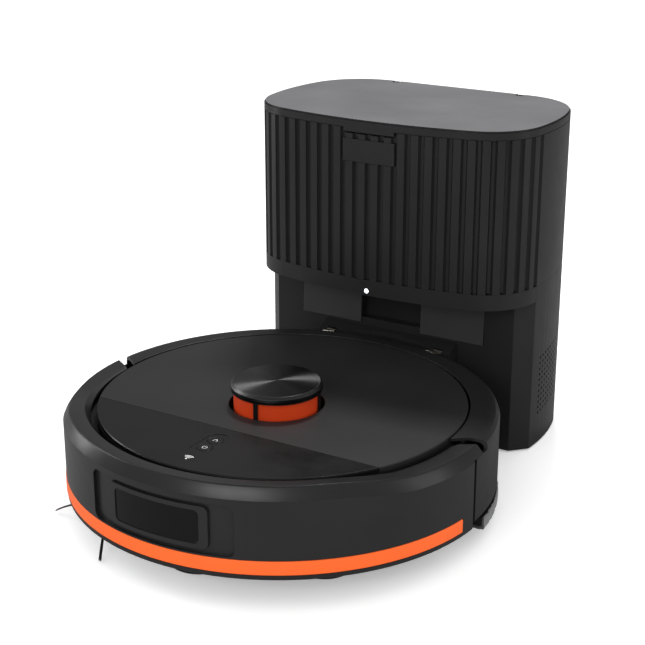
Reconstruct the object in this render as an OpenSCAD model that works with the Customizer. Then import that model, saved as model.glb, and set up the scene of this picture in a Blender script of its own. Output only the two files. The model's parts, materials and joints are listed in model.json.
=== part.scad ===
// Robot vacuum standing in its self-emptying station.
// Origin: on the floor, under the robot's turning axis. +Z is up and the robot faces -Y,
// so its left side is +X. The station stands behind it, towards +Y.
// Bearings around the robot are measured from straight ahead (-Y), positive towards +X.

/* [Robot body] */
// Diameter across the coloured bumper strip
robot_d = 350; // [348:1:352]
// Height of the top cover above the floor the robot stands on
cover_h = 78.6; // [78:0.1:79]
// Height of the turret cap's top above the top cover
turret_h = 19; // [18.5:0.1:19.5]
// Lower edge of the coloured bumper strip
strip_low = 16.2; // [15.9:0.1:17]
// Height of the coloured bumper strip
strip_h = 11.1; // [8:0.1:11.3]
// Distance of the joint between glossy front deck and top cover in front of the axis
chord_y = 73; // [70:1:76]
// Distance of the turret's axis in front of the robot's axis
turret_y = 9.4; // [8:0.1:11]
// Backward travel of the bumper
bumper_travel = 4; // [2:0.5:4]

/* [Robot running gear] */
// Diameter of a drive wheel
wheel_d = 62; // [58:1:62]
// Width of a drive wheel
wheel_w = 20; // [16:1:20]
// Number of tread bars on a drive wheel
tread_bars = 24; // [12:1:36]
// Diameter of the main brush over its fins
brush_d = 35; // [30:1:35]
// Length of the main brush over its fins
brush_len = 166; // [140:2:166]
// Reach of the side brush from its shaft
bristle_reach = 57; // [45:1:58]
// Diameter of the front caster wheel
caster_d = 22; // [18:1:22]

/* [Station] */
// Width of the station
dock_w = 266.8; // [262:0.1:272]
// Depth of the station's upper housing
dock_depth = 171.7; // [170:0.1:175]
// Height of the station with its lid
dock_h = 291; // [285:1:300]
// Height of the overhang's underside above the floor
lip_h = 138.5; // [137:0.5:140]
// Height of the joint between lower and upper housing
seam_h = 152.5; // [152:0.5:156]
// Thickness of the lid
lid_t = 7.1; // [6.8:0.1:8]
// Distance between two flutes of the housing
flute_pitch = 12.2; // [11:0.1:14]
// Depth of a flute
flute_depth = 3; // [2:0.1:3]
// Thickness of the base plate that the robot drives onto
plate_t = 12; // [11:0.5:13]
// Half width of the base plate
plate_half_w = 107; // [100:1:107]

/* [Hidden] */
$fn = 96;

big = 1000;            // larger than the whole object, for cutting halves away
eps = 0.01;            // overshoot of cutting bodies
run_gap = 0.06;        // radial clearance of a shaft in its bore
part_gap = 0.3;        // clearance between pieces that move past each other
seam = 0.05;           // joint line between two mouldings fixed to each other

// Robot radii
robot_r = robot_d / 2;
bumper_r = robot_r - 0.5;
bumper_in = robot_r - 5.2;
shell_r = robot_r - 2;
shell_in = robot_r - 4.6;
pan_r = robot_r - 10;
pan_in = pan_r - 2.5;
cover_r = robot_r - 27.2;
lip_r = robot_r - 22;
deck_r = robot_r - 19;
ridge_r = cover_r + 0.2;

// Robot heights above its own floor
pan_z = 8;
floor_z = pan_z + 2.5;
foot_z = floor_z + seam;  // foot of what is fixed on the pan's floor
pan_top = 24;
deck_z = 64;
deck_top = deck_z + 2.5;
cover_z = cover_h - 4;
crest_h = cover_h + 4.8;
cap_top = cover_h + turret_h;
cap_z = cap_top - 5.7;
drum_z = 73.8;
drum_r = 34.5;
well_r = 38.3;
belt_z = 70.2;
turret_pulley_r = 28;
motor_pulley_r = 4;
motor_pulley_x = 56;

// Bearings where bumper and rear shell meet, and extent of strip and window
bumper_end = 87;
shell_start = 89;
strip_end = 82;
notch_z = 68;          // height above which bumper and rear shell part in an oblique notch

// Drive wheel suspension: pivot ahead of the wheel, wheels standing on the floor beside the plate
wheel_r = wheel_d / 2;
wheel_x = 110.5;
wheel_z = wheel_r + 0.2 - plate_t;
pivot_y = -40;
pivot_z = 36;
pin_r = 3;
arm_x = 98.9;
arm_w = 9.4;

// Posts between chassis and deck
post_bearings = [15, 55, 90, 160, 200, 270, 305, 345];

// Brushes and caster
brush_y = -20;
brush_z = 18;
brush_r = brush_d / 2;
hub_pos = [-90, -114];
caster_y = -118;
caster_trail = 7;
caster_z = caster_d / 2 + 0.3;

// Dust bin and its ports
bin_half_w = 58;
bin_front = 34;
bin_back = 130;
bin_top = 73;
port_z = 50;           // centre of the suction port above the floor
port_half_w = 18;
port_half_h = 10;

// Buttons in the front deck
home_y = -94.5;
power_y = -108.8;
button_r = 6;

// Station plan outline: arcs joined at the bearings below
front_r = 436;
side_r = 187;
front_turn = 12;
side_turn = 82;
back_turn = 105;
front_y = robot_r - 40.7;
bay_y = robot_r + 5;
corner_r = (dock_w / 2 - front_r * sin(front_turn) - side_r * (1 - sin(side_turn)))
    / (sin(side_turn) - sin(front_turn));
side_depth = front_r * (1 - cos(front_turn)) + corner_r * (cos(front_turn) - cos(side_turn))
    + side_r * (cos(side_turn) - cos(back_turn));
rear_r = (dock_depth - side_depth) / (1 + cos(back_turn));
back_y = front_y + dock_depth;
flute_top = dock_h - lid_t - 0.4;
hinge_y = back_y - 3.7;
hinge_z = dock_h - 3.5;
duct_y = 216;
contact_x = 54;
foot_spots = [[0, 0], [60, -80], [-15, -92], [85, 60], [-85, 60], [100, 205], [-100, 205],
    [85, 280], [-85, 280]];

// Point on an arc that starts at p with bearing a and ends at bearing b
function arc_end(p, r, a, b) = p + r * [sin(b) - sin(a), cos(a) - cos(b)];
function arc_points(p, r, a, b, n) = [for (i = [0:n - 1]) arc_end(p, r, a, a + (b - a) * i / n)];
arc_1 = [0, front_y];
arc_2 = arc_end(arc_1, front_r, 0, front_turn);
arc_3 = arc_end(arc_2, corner_r, front_turn, side_turn);
arc_4 = arc_end(arc_3, side_r, side_turn, back_turn);

// Right half of the outline, moved outwards by d, from front centre to back
function half_outline(d) = concat(
    arc_points(arc_1 + [0, -d], front_r + d, 0, front_turn, 8),
    arc_points(arc_2 + d * [sin(front_turn), -cos(front_turn)], corner_r + d, front_turn, side_turn, 28),
    arc_points(arc_3 + d * [sin(side_turn), -cos(side_turn)], side_r + d, side_turn, back_turn, 9),
    arc_points(arc_4 + d * [sin(back_turn), -cos(back_turn)], rear_r + d, back_turn, 180, 24),
    [arc_end(arc_4, rear_r, back_turn, 180) + [0, d]]);

// Distance along the outline of each arc, for spacing the flutes
len_1 = front_r * front_turn * PI / 180;
len_2 = len_1 + corner_r * (side_turn - front_turn) * PI / 180;
function bearing_at(s) = s < len_1 ? s / front_r * 180 / PI
    : s < len_2 ? front_turn + (s - len_1) / corner_r * 180 / PI
    : side_turn + (s - len_2) / side_r * 180 / PI;
function point_at(s) = s < len_1 ? arc_end(arc_1, front_r, 0, bearing_at(s))
    : s < len_2 ? arc_end(arc_2, corner_r, front_turn, bearing_at(s))
    : arc_end(arc_3, side_r, side_turn, bearing_at(s));

// ---------- shared shapes ----------

module docked() {
    translate([0, 0, plate_t]) children();
}

module both_sides() {
    children();
    mirror([1, 0, 0]) children();
}

// Ring with the given half section between two bearings
module ring_part(section, from, to) {
    rotate([0, 0, from - 90]) rotate_extrude(angle = to - from, $fn = 180) polygon(section);
}

module box(low, high) {
    translate(low) cube(high - low);
}

module turret_axis() {
    translate([0, -turret_y, 0]) children();
}

// Bar along X between x0 and x1, around the given y and z
module bar_x(r, x0, x1, y, z) {
    translate([x0, y, z]) rotate([0, 90, 0]) cylinder(r = r, h = x1 - x0);
}

module bar_y(r, y0, y1, x, z) {
    translate([x, y0, z]) rotate([-90, 0, 0]) cylinder(r = r, h = y1 - y0);
}

module capsule(len_y, width, h) {
    r = width / 2;
    translate([-r, -len_y / 2 + r, 0]) cube([width, len_y - width, h]);
    for (s = [-1, 1]) translate([0, s * (len_y / 2 - r), 0]) cylinder(r = r, h = h);
}

module dock_plan(d = 0) {
    half = half_outline(d);
    n = len(half);
    polygon(concat(half, [for (i = [0:n - 2]) [-half[n - 1 - i][0], half[n - 1 - i][1]]]));
}

// ---------- robot: casings ----------

module chassis() {
    color("#1d1d1f") docked() difference() {
        union() {
            rotate_extrude($fn = 180) polygon([[0, pan_z], [pan_r - 3, pan_z],
                [pan_r - 0.5, floor_z], [0, floor_z]]);
            rotate_extrude($fn = 180) polygon([[pan_in, foot_z], [pan_r - 0.45, foot_z],
                [pan_r, foot_z + 0.45], [pan_r, pan_top], [pan_in, pan_top]]);
            chassis_posts();
            both_sides() wheel_ears();
            both_sides() spring_seat();
            brush_tunnel();
            caster_cup();
            translate([hub_pos[0], hub_pos[1], floor_z - eps]) cylinder(r = 15.5, h = 3.5);
        }
        brush_space();
        both_sides() box([95.5, -37, pan_z - 1], [135, 40, floor_z + 1]);
        translate([0, caster_y, pan_z - 1]) cylinder(r = 20, h = 20.5);
        translate([0, caster_y, 0]) cylinder(r = 4 + run_gap, h = 60);
        translate([hub_pos[0], hub_pos[1], 0]) cylinder(r = 13, h = 20);
    }
}

module chassis_posts() {
    for (a = post_bearings)
        rotate([0, 0, a]) translate([0, -150, foot_z]) cylinder(r = 4, h = deck_z - foot_z - seam);
}

module wheel_ears() {
    for (x = [[91.5, 95], [109, 113]]) {
        box([x[0], pivot_y - 6, foot_z], [x[1], pivot_y + 1.5, pivot_z]);
        bar_x(6, x[0], x[1], pivot_y, pivot_z);
    }
    bar_x(pin_r, 91.6, 112.9, pivot_y, pivot_z);
}

module spring_seat() {
    box([54, -143, foot_z], [66, -138, 40]);
}

module brush_tunnel() {
    intersection() {
        bar_x(brush_r + 4.6, -brush_len / 2 - 7, brush_len / 2 + 7, brush_y, brush_z);
        box([-big, -big, foot_z], [big, big, big]);
    }
    box([-30, -1, foot_z], [30, bin_front - 0.4, 34]);
}

module brush_space() {
    bar_x(brush_r + 2, -brush_len / 2 - 2.4, brush_len / 2 + 2.4, brush_y, brush_z);
    box([-brush_len / 2 - 2.4, brush_y - 17, 0], [brush_len / 2 + 2.4, brush_y + 17, brush_z]);
    bar_x(pin_r + run_gap, -big, big, brush_y, brush_z);
    box([-28, brush_y + 12, 14], [28, big, 32]);
}

module caster_cup() {
    translate([0, caster_y, floor_z - eps]) cylinder(r = 22, h = 19.5);
    translate([0, caster_y, 29]) cylinder(r = 9, h = 9);
}

module rear_shell() {
    color("#232325") docked() difference() {
        union() {
            ring_part([[pan_r + 0.2, 16], [shell_r, 16], [shell_r, cover_h - 7.6],
                [shell_r - 1, cover_h - 4.6], [shell_r - 3.5, cover_h - 2.4],
                [shell_r - 12, cover_h], [cover_r + 1.7, cover_h], [cover_r + 1.7, cover_h - 2.6],
                [shell_r - 12.5, cover_h - 2.6], [shell_r - 5, cover_h - 5],
                [shell_in, cover_h - 8], [shell_in, 18.5], [pan_r + 0.2, 18.5]],
                shell_start, 360 - shell_start);
            box([-20, bin_back + 0.6, 24.5], [20, shell_in - 1.3, 52]);
        }
        box([-port_half_w, bin_back, port_z - port_half_h - plate_t],
            [port_half_w, big, port_z + port_half_h - plate_t]);
        for (s = [-1, 1]) contact_strip(s, 0.1);
        both_sides() translate([0, 0, notch_z]) linear_extrude(30)
            polygon([[146, -20], [181, -20], [181, 24], [146, -3.8]]);
    }
}

module contact_strip(s, grow) {
    a = 180 - s * 18.2;
    r = shell_r + 0.3;
    ring_part([[shell_r - 1.6, 58], [r, 58], [r, cover_h - 7.5], [r - 1, cover_h - 4.4],
        [r - 3.5, cover_h - 2.1], [r - 9, cover_h - 0.5], [r - 9.4, cover_h - 2],
        [r - 4.2, cover_h - 3.6], [shell_r - 1.8, cover_h - 7.5]],
        a - 1.8 - grow, a + 1.8 + grow);
}

module charge_contacts() {
    color("#c9b27a") docked() for (s = [-1, 1]) contact_strip(s, 0);
}

module deck() {
    color("#161617") docked() difference() {
        union() {
            translate([0, 0, deck_z]) cylinder(r = deck_r, h = deck_top - deck_z, $fn = 180);
            ring_part([[ridge_r - 2.2, deck_top - eps], [ridge_r, deck_top - eps],
                [ridge_r, cover_z - 0.2], [ridge_r - 2.2, cover_z - 0.2]], 0, 360);
            turret_axis() translate([0, 0, deck_top - eps])
                cylinder(r = well_r + 2.3, h = cover_z - deck_top - 0.2);
        }
        turret_axis() translate([0, 0, deck_top]) cylinder(r = well_r + 0.3, h = 20);
        turret_axis() box([28, -20, belt_z - 0.6], [44, 20, belt_z + 3.2]);
        turret_axis() translate([motor_pulley_x, 0, 0]) cylinder(r = 8.3, h = 100);
        box([-bin_half_w - 0.8, bin_front - 0.8, 0], [bin_half_w + 0.8, bin_back + 0.8, 100]);
    }
}

// Round cover plate with a small bevel round its top edge
module cover_disc() {
    rotate_extrude($fn = 180) polygon([[0, cover_z], [cover_r, cover_z], [cover_r, cover_h - 0.8],
        [cover_r - 0.8, cover_h], [0, cover_h]]);
}

module front_deck() {
    color("#0c0c0d") docked() difference() {
        cover_disc();
        box([-big, -chord_y - 0.2, 0], [big, big, 100]);
        translate([0, (home_y + power_y) / 2, cover_h - 0.4]) capsule(38, 19, 2);
        for (y = [home_y, power_y]) translate([0, y, 0]) cylinder(r = button_r + part_gap, h = 100);
    }
}

module top_cover() {
    color("#2b2b2d") docked() difference() {
        cover_disc();
        box([-big, -big, 0], [big, -chord_y + 0.2, 100]);
        turret_axis() cylinder(r = well_r, h = 100);
    }
}

module button(y) {
    translate([0, y, cover_z - 1.6]) cylinder(r = button_r + 0.8, h = 1);
    translate([0, y, cover_z - 1]) cylinder(r = button_r, h = cover_h - cover_z + 0.8);
}

module home_button() {
    color("#1a1a1c") docked() button(home_y);
}

module power_button() {
    color("#1a1a1c") docked() button(power_y);
}

// ---------- robot: lidar turret ----------

module lidar_cage() {
    color("#101011") docked() turret_axis() {
        translate([0, 0, deck_top + 0.2]) cylinder(r = well_r - 0.1, h = 1.6);
        translate([0, 0, deck_top + 1.7]) cylinder(r = 5, h = 8);
        for (a = [5, 103, 180, 280]) cage_post(a);
        translate([0, 0, cap_z - 1]) difference() {
            cylinder(r = 36.4, h = 0.9);
            translate([0, 0, -1]) cylinder(r = 30, h = 3);
        }
    }
}

module cage_post(a) {
    ring_part([[35, deck_top + 1.7], [36.2, deck_top + 1.7], [36.2, cap_z - 0.6], [35, cap_z - 0.6]],
        a - 3, a + 3);
}

module lidar_cap() {
    color("#1b1b1d") docked() turret_axis() rotate_extrude() polygon([[0, cap_z], [35.8, cap_z],
        [36.6, cap_z + 0.8], [36.6, cap_top - 2.4], [34.8, cap_top - 0.3], [8, cap_top], [0, cap_top]]);
}

module lidar_drum() {
    color("#e0562a") docked() turret_axis() difference() {
        union() {
            translate([0, 0, deck_top + 3.2]) cylinder(r = turret_pulley_r, h = 4.2);
            translate([0, 0, drum_z]) cylinder(r = drum_r, h = cap_z - 1.4 - drum_z);
        }
        translate([0, 0, drum_z + 3]) difference() {
            cylinder(r = drum_r - 2.4, h = cap_z - drum_z - 6.5);
            cylinder(r = 14, h = 40);
        }
        translate([0, 0, 60]) cylinder(r = 5 + run_gap, h = 17);
    }
}

module lidar_motor() {
    color("#8f9196") docked() turret_axis() translate([motor_pulley_x, 0, 0]) {
        translate([0, 0, 50]) cylinder(r = 8, h = 18.6);
        translate([0, 0, 68.5]) cylinder(r = 1, h = 4);
    }
}

module lidar_pulley() {
    color("#d8d8d4") docked() turret_axis() translate([motor_pulley_x, 0, 69]) difference() {
        union() {
            cylinder(r = motor_pulley_r, h = 4.6);
            cylinder(r = motor_pulley_r + 1.6, h = 0.8);
        }
        translate([0, 0, -1]) cylinder(r = 1 + run_gap, h = 10);
    }
}

// Loop round both pulleys: an arc on each and two straight runs between them
module lidar_belt() {
    tilt = asin((turret_pulley_r - motor_pulley_r) / motor_pulley_x);
    run = motor_pulley_x * cos(tilt);
    color("#0a0a0a") docked() turret_axis() {
        belt_arc(turret_pulley_r, 180 - tilt, 360 + tilt);
        translate([motor_pulley_x, 0, 0]) belt_arc(motor_pulley_r, tilt, 180 - tilt);
        for (s = [0, 1]) mirror([0, s, 0]) rotate([0, 0, -tilt])
            box([-0.8, turret_pulley_r + 0.2, belt_z + 0.1], [run + 0.8, turret_pulley_r + 1.4, belt_z + 2.5]);
    }
}

module belt_arc(r, from, to) {
    ring_part([[r + 0.3, belt_z], [r + 1.3, belt_z], [r + 1.3, belt_z + 2.6], [r + 0.3, belt_z + 2.6]],
        from, to);
}

// ---------- robot: bumper ----------

// How much lower the crest runs at bearing a: level in front, down to the rear shell's height
function crest_drop(a) = let (t = min(1, max(0, (abs(a) - 42) / 28))) 6.5 * t * t * (3 - 2 * t);

// Half section of the bumper at bearing a, from the foot of its inner face
function bumper_section(a) = let (d = crest_drop(a)) [[bumper_in, 12], [robot_r - 1.4, 12],
    [robot_r - 0.6, 12.8], [bumper_r, strip_low + 1], [bumper_r, crest_h - 9.4 - d],
    [robot_r - 2.6, crest_h - 4.6 - d], [robot_r - 5.1, crest_h - 0.7 - d],
    [robot_r - 6.1, crest_h - d], [robot_r - 7.6, crest_h - d],
    [robot_r - 17.8, crest_h - 1.6 - 0.83 * d], [lip_r, crest_h - 8.4],
    [lip_r, crest_h - 10.8], [lip_r + 2.2, crest_h - 10.8], [lip_r + 5.9, crest_h - 4.1 - 0.83 * d],
    [robot_r - 8.4, crest_h - 2.9 - d], [bumper_in, crest_h - 10 - d]];

// Ring whose section changes along its bearing
module bumper_sweep(end) {
    steps = 92;
    n = len(bumper_section(0));
    bearings = [for (i = [0:steps]) -end + 2 * end * i / steps];
    points = [for (a = bearings) for (q = bumper_section(a)) [q[0] * sin(a), -q[0] * cos(a), q[1]]];
    sides = [for (i = [0:steps - 1]) for (k = [0:n - 1]) let (a = i * n + k, b = i * n + (k + 1) % n)
        for (t = [[a, b, b + n], [a, b + n, a + n]]) t];
    polyhedron(points, concat(sides, [[for (k = [n - 1:-1:0]) k], [for (k = [0:n - 1]) steps * n + k]]),
        convexity = 6);
}

module bumper_shell() {
    color("#2a2a2d") docked() difference() {
        bumper_sweep(92.6);
        both_sides() {
            rotate([0, 0, bumper_end]) box([0, -200, 0], [200, 0, notch_z + 1]);
            translate([0, 0, notch_z]) linear_extrude(30)
                polygon([[140, -13.2], [190, 14.8], [190, 60], [140, 60]]);
        }
        ring_part([[robot_r - 2.7, strip_low - 0.3], [robot_r + 5, strip_low - 0.3],
            [robot_r + 5, strip_low + strip_h + 0.3], [robot_r - 2.7, strip_low + strip_h + 0.3]],
            -strip_end - 0.3, strip_end + 0.3);
        front_opening(robot_r - 3.4, robot_r + 5, 62.5, [28.6, 69], 6);
    }
}

// Rounded rectangle in the bumper's front between two radii
module front_opening(r_in, r_out, half_w, z, corner) {
    intersection() {
        ring_part([[r_in, 10], [r_out, 10], [r_out, 90], [r_in, 90]], -40, 40);
        rotate([90, 0, 0]) linear_extrude(190)
            hull() for (x = [-1, 1], y = [z[0] + corner, z[1] - corner])
                translate([x * (half_w - corner), y]) circle(r = corner, $fn = 48);
    }
}

module accent_strip() {
    color("#f0642f") docked() ring_part([[robot_r - 2.6, strip_low], [robot_r - 0.5, strip_low],
        [robot_r, strip_low + 0.8], [robot_r, strip_low + strip_h - 0.8],
        [robot_r - 0.5, strip_low + strip_h], [robot_r - 2.6, strip_low + strip_h]],
        -strip_end, strip_end);
}

module sensor_window() {
    color("#08080a") docked() difference() {
        front_opening(robot_r - 3.3, robot_r - 0.6, 43.8, [32.4, 66], 5);
        front_opening(robot_r - 1.6, robot_r, 37, [36, 62.4], 4);
    }
}

module bumper_springs() {
    color("#b8bcc0") docked() both_sides() for (i = [0:4])
        translate([60, -143.9 - i * 1.9, 34]) rotate([90, 0, 0])
            rotate_extrude($fn = 32) translate([4, 0]) circle(r = 0.7, $fn = 16);
}

// ---------- robot: running gear ----------

module wheel_arm() {
    docked() difference() {
        union() {
            translate([arm_x, 0, 0]) rotate([90, 0, 90]) linear_extrude(arm_w) {
                translate([0, wheel_z]) circle(r = 10.8);
                translate([pivot_y, pivot_z]) circle(r = 8);
                polygon([[pivot_y - 4, pivot_z - 7], [-7, wheel_z - 8], [6, wheel_z + 8.8],
                    [pivot_y + 3, pivot_z + 7.4]]);
            }
            bar_x(pin_r, arm_x + arm_w - eps, wheel_x + wheel_w - 1, 0, wheel_z);
        }
        bar_x(pin_r + run_gap, 0, big, pivot_y, pivot_z);
    }
}

module wheel_arm_left() {
    color("#2a2a2c") wheel_arm();
}

module wheel_arm_right() {
    color("#2a2a2c") mirror([1, 0, 0]) wheel_arm();
}

module wheel_rim() {
    docked() translate([wheel_x, 0, wheel_z]) rotate([0, 90, 0]) difference() {
        cylinder(r = wheel_r - 6, h = wheel_w);
        translate([0, 0, -1]) cylinder(r = pin_r + run_gap, h = wheel_w + 2);
        for (z = [-1, wheel_w - 6]) translate([0, 0, z]) difference() {
            cylinder(r = wheel_r - 9, h = 7);
            cylinder(r = 7, h = 30, center = true);
        }
        for (a = [0:60:300]) rotate([0, 0, a]) translate([14, 0, -1]) cylinder(r = 4, h = wheel_w + 2);
    }
}

module wheel_rim_left() {
    color("#39393c") wheel_rim();
}

module wheel_rim_right() {
    color("#39393c") mirror([1, 0, 0]) wheel_rim();
}

module wheel_tyre() {
    docked() translate([wheel_x, 0, wheel_z]) rotate([0, 90, 0]) difference() {
        cylinder(r = wheel_r, h = wheel_w);
        translate([0, 0, -1]) cylinder(r = wheel_r - 6, h = wheel_w + 2);
        for (i = [0:tread_bars - 1]) rotate([0, 0, (i + 0.5) * 360 / tread_bars])
            translate([wheel_r - 2, -1.7, -1]) cube([5, 3.4, wheel_w + 2]);
    }
}

module wheel_tyre_left() {
    color("#151515") wheel_tyre();
}

module wheel_tyre_right() {
    color("#151515") mirror([1, 0, 0]) wheel_tyre();
}

module arm_springs() {
    color("#b8bcc0") docked() both_sides() for (x = [96, 97.7])
        translate([x, pivot_y, pivot_z]) rotate([0, 90, 0]) rotate_extrude($fn = 48)
            translate([5.5, 0]) circle(r = 0.75, $fn = 16);
}

module caster_fork() {
    color("#2a2a2c") docked() translate([0, caster_y, 0]) {
        translate([0, 0, 24.3]) cylinder(r = 15, h = 2.6);
        translate([0, 0, 26.8]) cylinder(r = 4, h = 12);
        for (s = [-1, 1]) box([s * 8.1 - 1.1, -caster_trail - 5, 6], [s * 8.1 + 1.1, 5, 24.4]);
        bar_x(2, -8, 8, -caster_trail, caster_z);
    }
}

module caster_wheel() {
    color("#e8e8e6") docked() difference() {
        bar_x(caster_d / 2, -6, 6, caster_y - caster_trail, caster_z);
        bar_x(2 + run_gap, -10, 10, caster_y - caster_trail, caster_z);
        for (s = [-1, 1]) difference() {
            bar_x(8.4, s * 6 - 2, s * 6 + 2, caster_y - caster_trail, caster_z);
            bar_x(4, -10, 10, caster_y - caster_trail, caster_z);
        }
    }
}

module main_brush() {
    color("#3a3a3d") docked() {
        bar_x(pin_r, -brush_len / 2 - 6.4, brush_len / 2 + 6.4, brush_y, brush_z);
        bar_x(6, -brush_len / 2 - 1, brush_len / 2 + 1, brush_y, brush_z);
        for (a = [0:60:300]) translate([0, brush_y, brush_z]) rotate([a, 0, 0])
            box([-brush_len / 2, -0.8, 5], [brush_len / 2, 0.8, brush_r]);
    }
}

module brush_guard() {
    color("#232325") docked() difference() {
        box([-94, brush_y - 30, 4.5], [94, brush_y + 30, pan_z - 0.2]);
        box([-84.5, brush_y - 18.4, 0], [84.5, brush_y + 18.4, 20]);
        both_sides() box([91.2, -37.5, 0], [95, 40, 20]);
    }
}

module brush_motor() {
    color("#8f9196") docked() {
        bar_x(11, -82, -46, 16, 24);
        box([-90, 6, 12], [-82, 30, 38]);
    }
}

module side_brush() {
    color("#1b1b1c") docked() translate([hub_pos[0], hub_pos[1], 0]) {
        translate([0, 0, 4.8]) cylinder(r = 10, h = 5);
        translate([0, 0, 9.7]) cylinder(r = pin_r, h = 10);
        for (a = [60.5, 180.5, 300.5]) rotate([0, 0, a]) bristle_tuft();
    }
}

// Tuft that bends down in an arc, level at the hub and touching down at its reach
module bristle_tuft() {
    drop = 17.6;
    r = (pow(bristle_reach, 2) + pow(drop, 2)) / 2 / drop;
    translate([0, 0, 7.4 - r]) rotate([90, 0, 0]) rotate([0, 0, 90 - asin(bristle_reach / r)])
        rotate_extrude(angle = asin(bristle_reach / r) - 3) translate([r, 0]) circle(r = 1.4, $fn = 24);
}

module side_brush_motor() {
    color("#8f9196") docked() translate([hub_pos[0], hub_pos[1], 0]) difference() {
        union() {
            translate([0, 0, floor_z + 3.7]) cylinder(r = 15.5, h = 2);
            translate([0, 0, floor_z + 3.7]) cylinder(r = 12, h = 26);
        }
        translate([0, 0, 10]) cylinder(r = pin_r + run_gap, h = 12);
    }
}

module cliff_sensors() {
    color("#0d0d0f") docked() for (a = [-75, -10, 10, 75])
        rotate([0, 0, a]) box([-8, -154, pan_z - 1.4], [8, -147, pan_z - 0.1]);
}

module chassis_screws() {
    color("#9a9ca0") docked() for (a = post_bearings) if (cos(a) > -0.1)
        rotate([0, 0, a]) translate([0, -138, pan_z - 1.5]) difference() {
            cylinder(r = 3, h = 1.4, $fn = 32);
            translate([0, 0, -1]) cylinder(r = 1.4, h = 1.6, $fn = 6);
        }
}

// ---------- robot: inside ----------

module battery() {
    color("#3f5f9a") docked() difference() {
        box([-70, -92, 12], [70, -50, 40]);
        for (x = [-46.7, -23.3, 0, 23.3, 46.7]) box([x - 0.6, -93, 38], [x + 0.6, -49, 41]);
    }
}

module main_board() {
    color("#1f6b3a") docked() {
        box([-85, -55, 44], [85, 30, 45.6]);
        for (p = [[-60, -30], [-20, -35], [30, -40], [10, 5], [-50, 5]])
            box([p[0] - 9, p[1] - 7, 45.5], [p[0] + 9, p[1] + 7, 48]);
    }
}

// Fan casing with an inlet in its top and an outlet in its side
module fan_casing(r, h, low) {
    difference() {
        cylinder(r = r, h = h);
        translate([0, 0, low]) cylinder(r = r - 2.5, h = h - low - 2.5);
        translate([0, 0, low]) cylinder(r = r / 3, h = h);
        translate([0, 0, low - 10]) cylinder(r = 2 + run_gap, h = 20);
        translate([0, -6, low + 2]) cube([big, 12, h - low - 8]);
    }
}

module impeller(r, h) {
    translate([0, 0, -8]) cylinder(r = 2, h = 8 + h);
    cylinder(r = r, h = 1.6);
    cylinder(r = r / 4, h = h);
    for (a = [0:40:320]) rotate([0, 0, a]) translate([r / 4 - 1, -0.7, 1]) cube([r * 0.7, 1.4, h - 1]);
}

module suction_fan() {
    color("#55565a") docked() translate([104, 80, 12]) fan_casing(27, 44, 22);
}

module fan_impeller() {
    color("#d0d0cc") docked() translate([104, 80, 36.5]) impeller(22.5, 13);
}

module dust_bin() {
    color("#4a4a4e") docked() difference() {
        box([-bin_half_w, bin_front, 12], [bin_half_w, bin_back, bin_top]);
        box([-bin_half_w + 2, bin_front + 2, 14], [bin_half_w - 2, bin_back - 2, bin_top - 2]);
        box([-28, 0, 16], [28, bin_front + 5, 32]);
        box([-port_half_w, bin_back - 5, port_z - port_half_h - plate_t],
            [port_half_w, bin_back + 5, port_z + port_half_h - plate_t]);
    }
}

module bin_filter() {
    color("#e9e9e4") docked() box([43, bin_front + 2.2, 18], [bin_half_w - 2.2, bin_back - 2.2, 62]);
}

module water_tank() {
    color("#5b6066") docked() difference() {
        box([-127, 46, 12], [-80, 94, 54]);
        box([-125, 48, 14], [-82, 92, 52]);
        translate([-104, 70, 50]) cylinder(r = 6, h = 10);
    }
}

// Half-moon plan behind the wheels, with a horn along the rim on each side
module mop_plan(r) {
    difference() {
        circle(r = r, $fn = 180);
        translate([-big, -big + 12]) square([2 * big, big]);
        translate([-136, -big + 46]) square([272, big]);
    }
}

module mop_bracket() {
    color("#2c2c2f") docked() {
        translate([0, 0, 4.2]) linear_extrude(3.6) mop_plan(robot_r - 3);
        translate([0, 0, 7.7]) linear_extrude(3.8) difference() {
            mop_plan(robot_r - 3);
            circle(r = pan_r + 0.6, $fn = 180);
        }
    }
}

module mop_pad() {
    color("#8a8c90") docked() {
        translate([0, 0, 0.3]) linear_extrude(3.8) mop_plan(robot_r - 1);
        translate([0, 0, 4]) linear_extrude(8) difference() {
            mop_plan(robot_r - 1);
            circle(r = robot_r - 2.9, $fn = 180);
        }
    }
}

// ---------- station ----------

module plate_plan() {
    corner = 22;
    low = -100;
    difference() {
        union() {
            translate([-plate_half_w, low + corner]) square([2 * plate_half_w, bay_y - low - corner]);
            translate([-plate_half_w + corner, low]) square([2 * (plate_half_w - corner), 2 * corner]);
            for (s = [-1, 1]) translate([s * (plate_half_w - corner), low + corner]) circle(r = corner);
            translate([-26, -120]) square([52, 60]);
            translate([0, -116]) circle(r = 26);
        }
        translate(hub_pos) circle(r = bristle_reach + 3.5);
    }
}

module base_plate() {
    color("#1e1e20") difference() {
        union() {
            difference() {
                translate([0, 0, 1.5]) linear_extrude(plate_t - 1.5) plate_plan();
                for (x = [-84:42:84], y = [-40:42:150])
                    box([x - 18.5, y - 18.5, 0], [x + 18.5, y + 18.5, plate_t - 2.6]);
                for (y = [-68:8:-36]) box([-40, y, plate_t - 0.8], [90, y + 3, plate_t + 1]);
            }
            for (p = foot_spots) if (p[1] < 150)
                translate([p[0], p[1], 1.5]) cylinder(r = 13, h = plate_t - 3);
        }
        for (p = foot_spots) translate([p[0], p[1], 0]) cylinder(r = 10.1, h = 3);
        ramp_cut(-142, 12);
        difference() {
            ramp_cut(-100.5, 20);
            box([-26, -big, -1], [26, -90, 100]);
        }
    }
}

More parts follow.
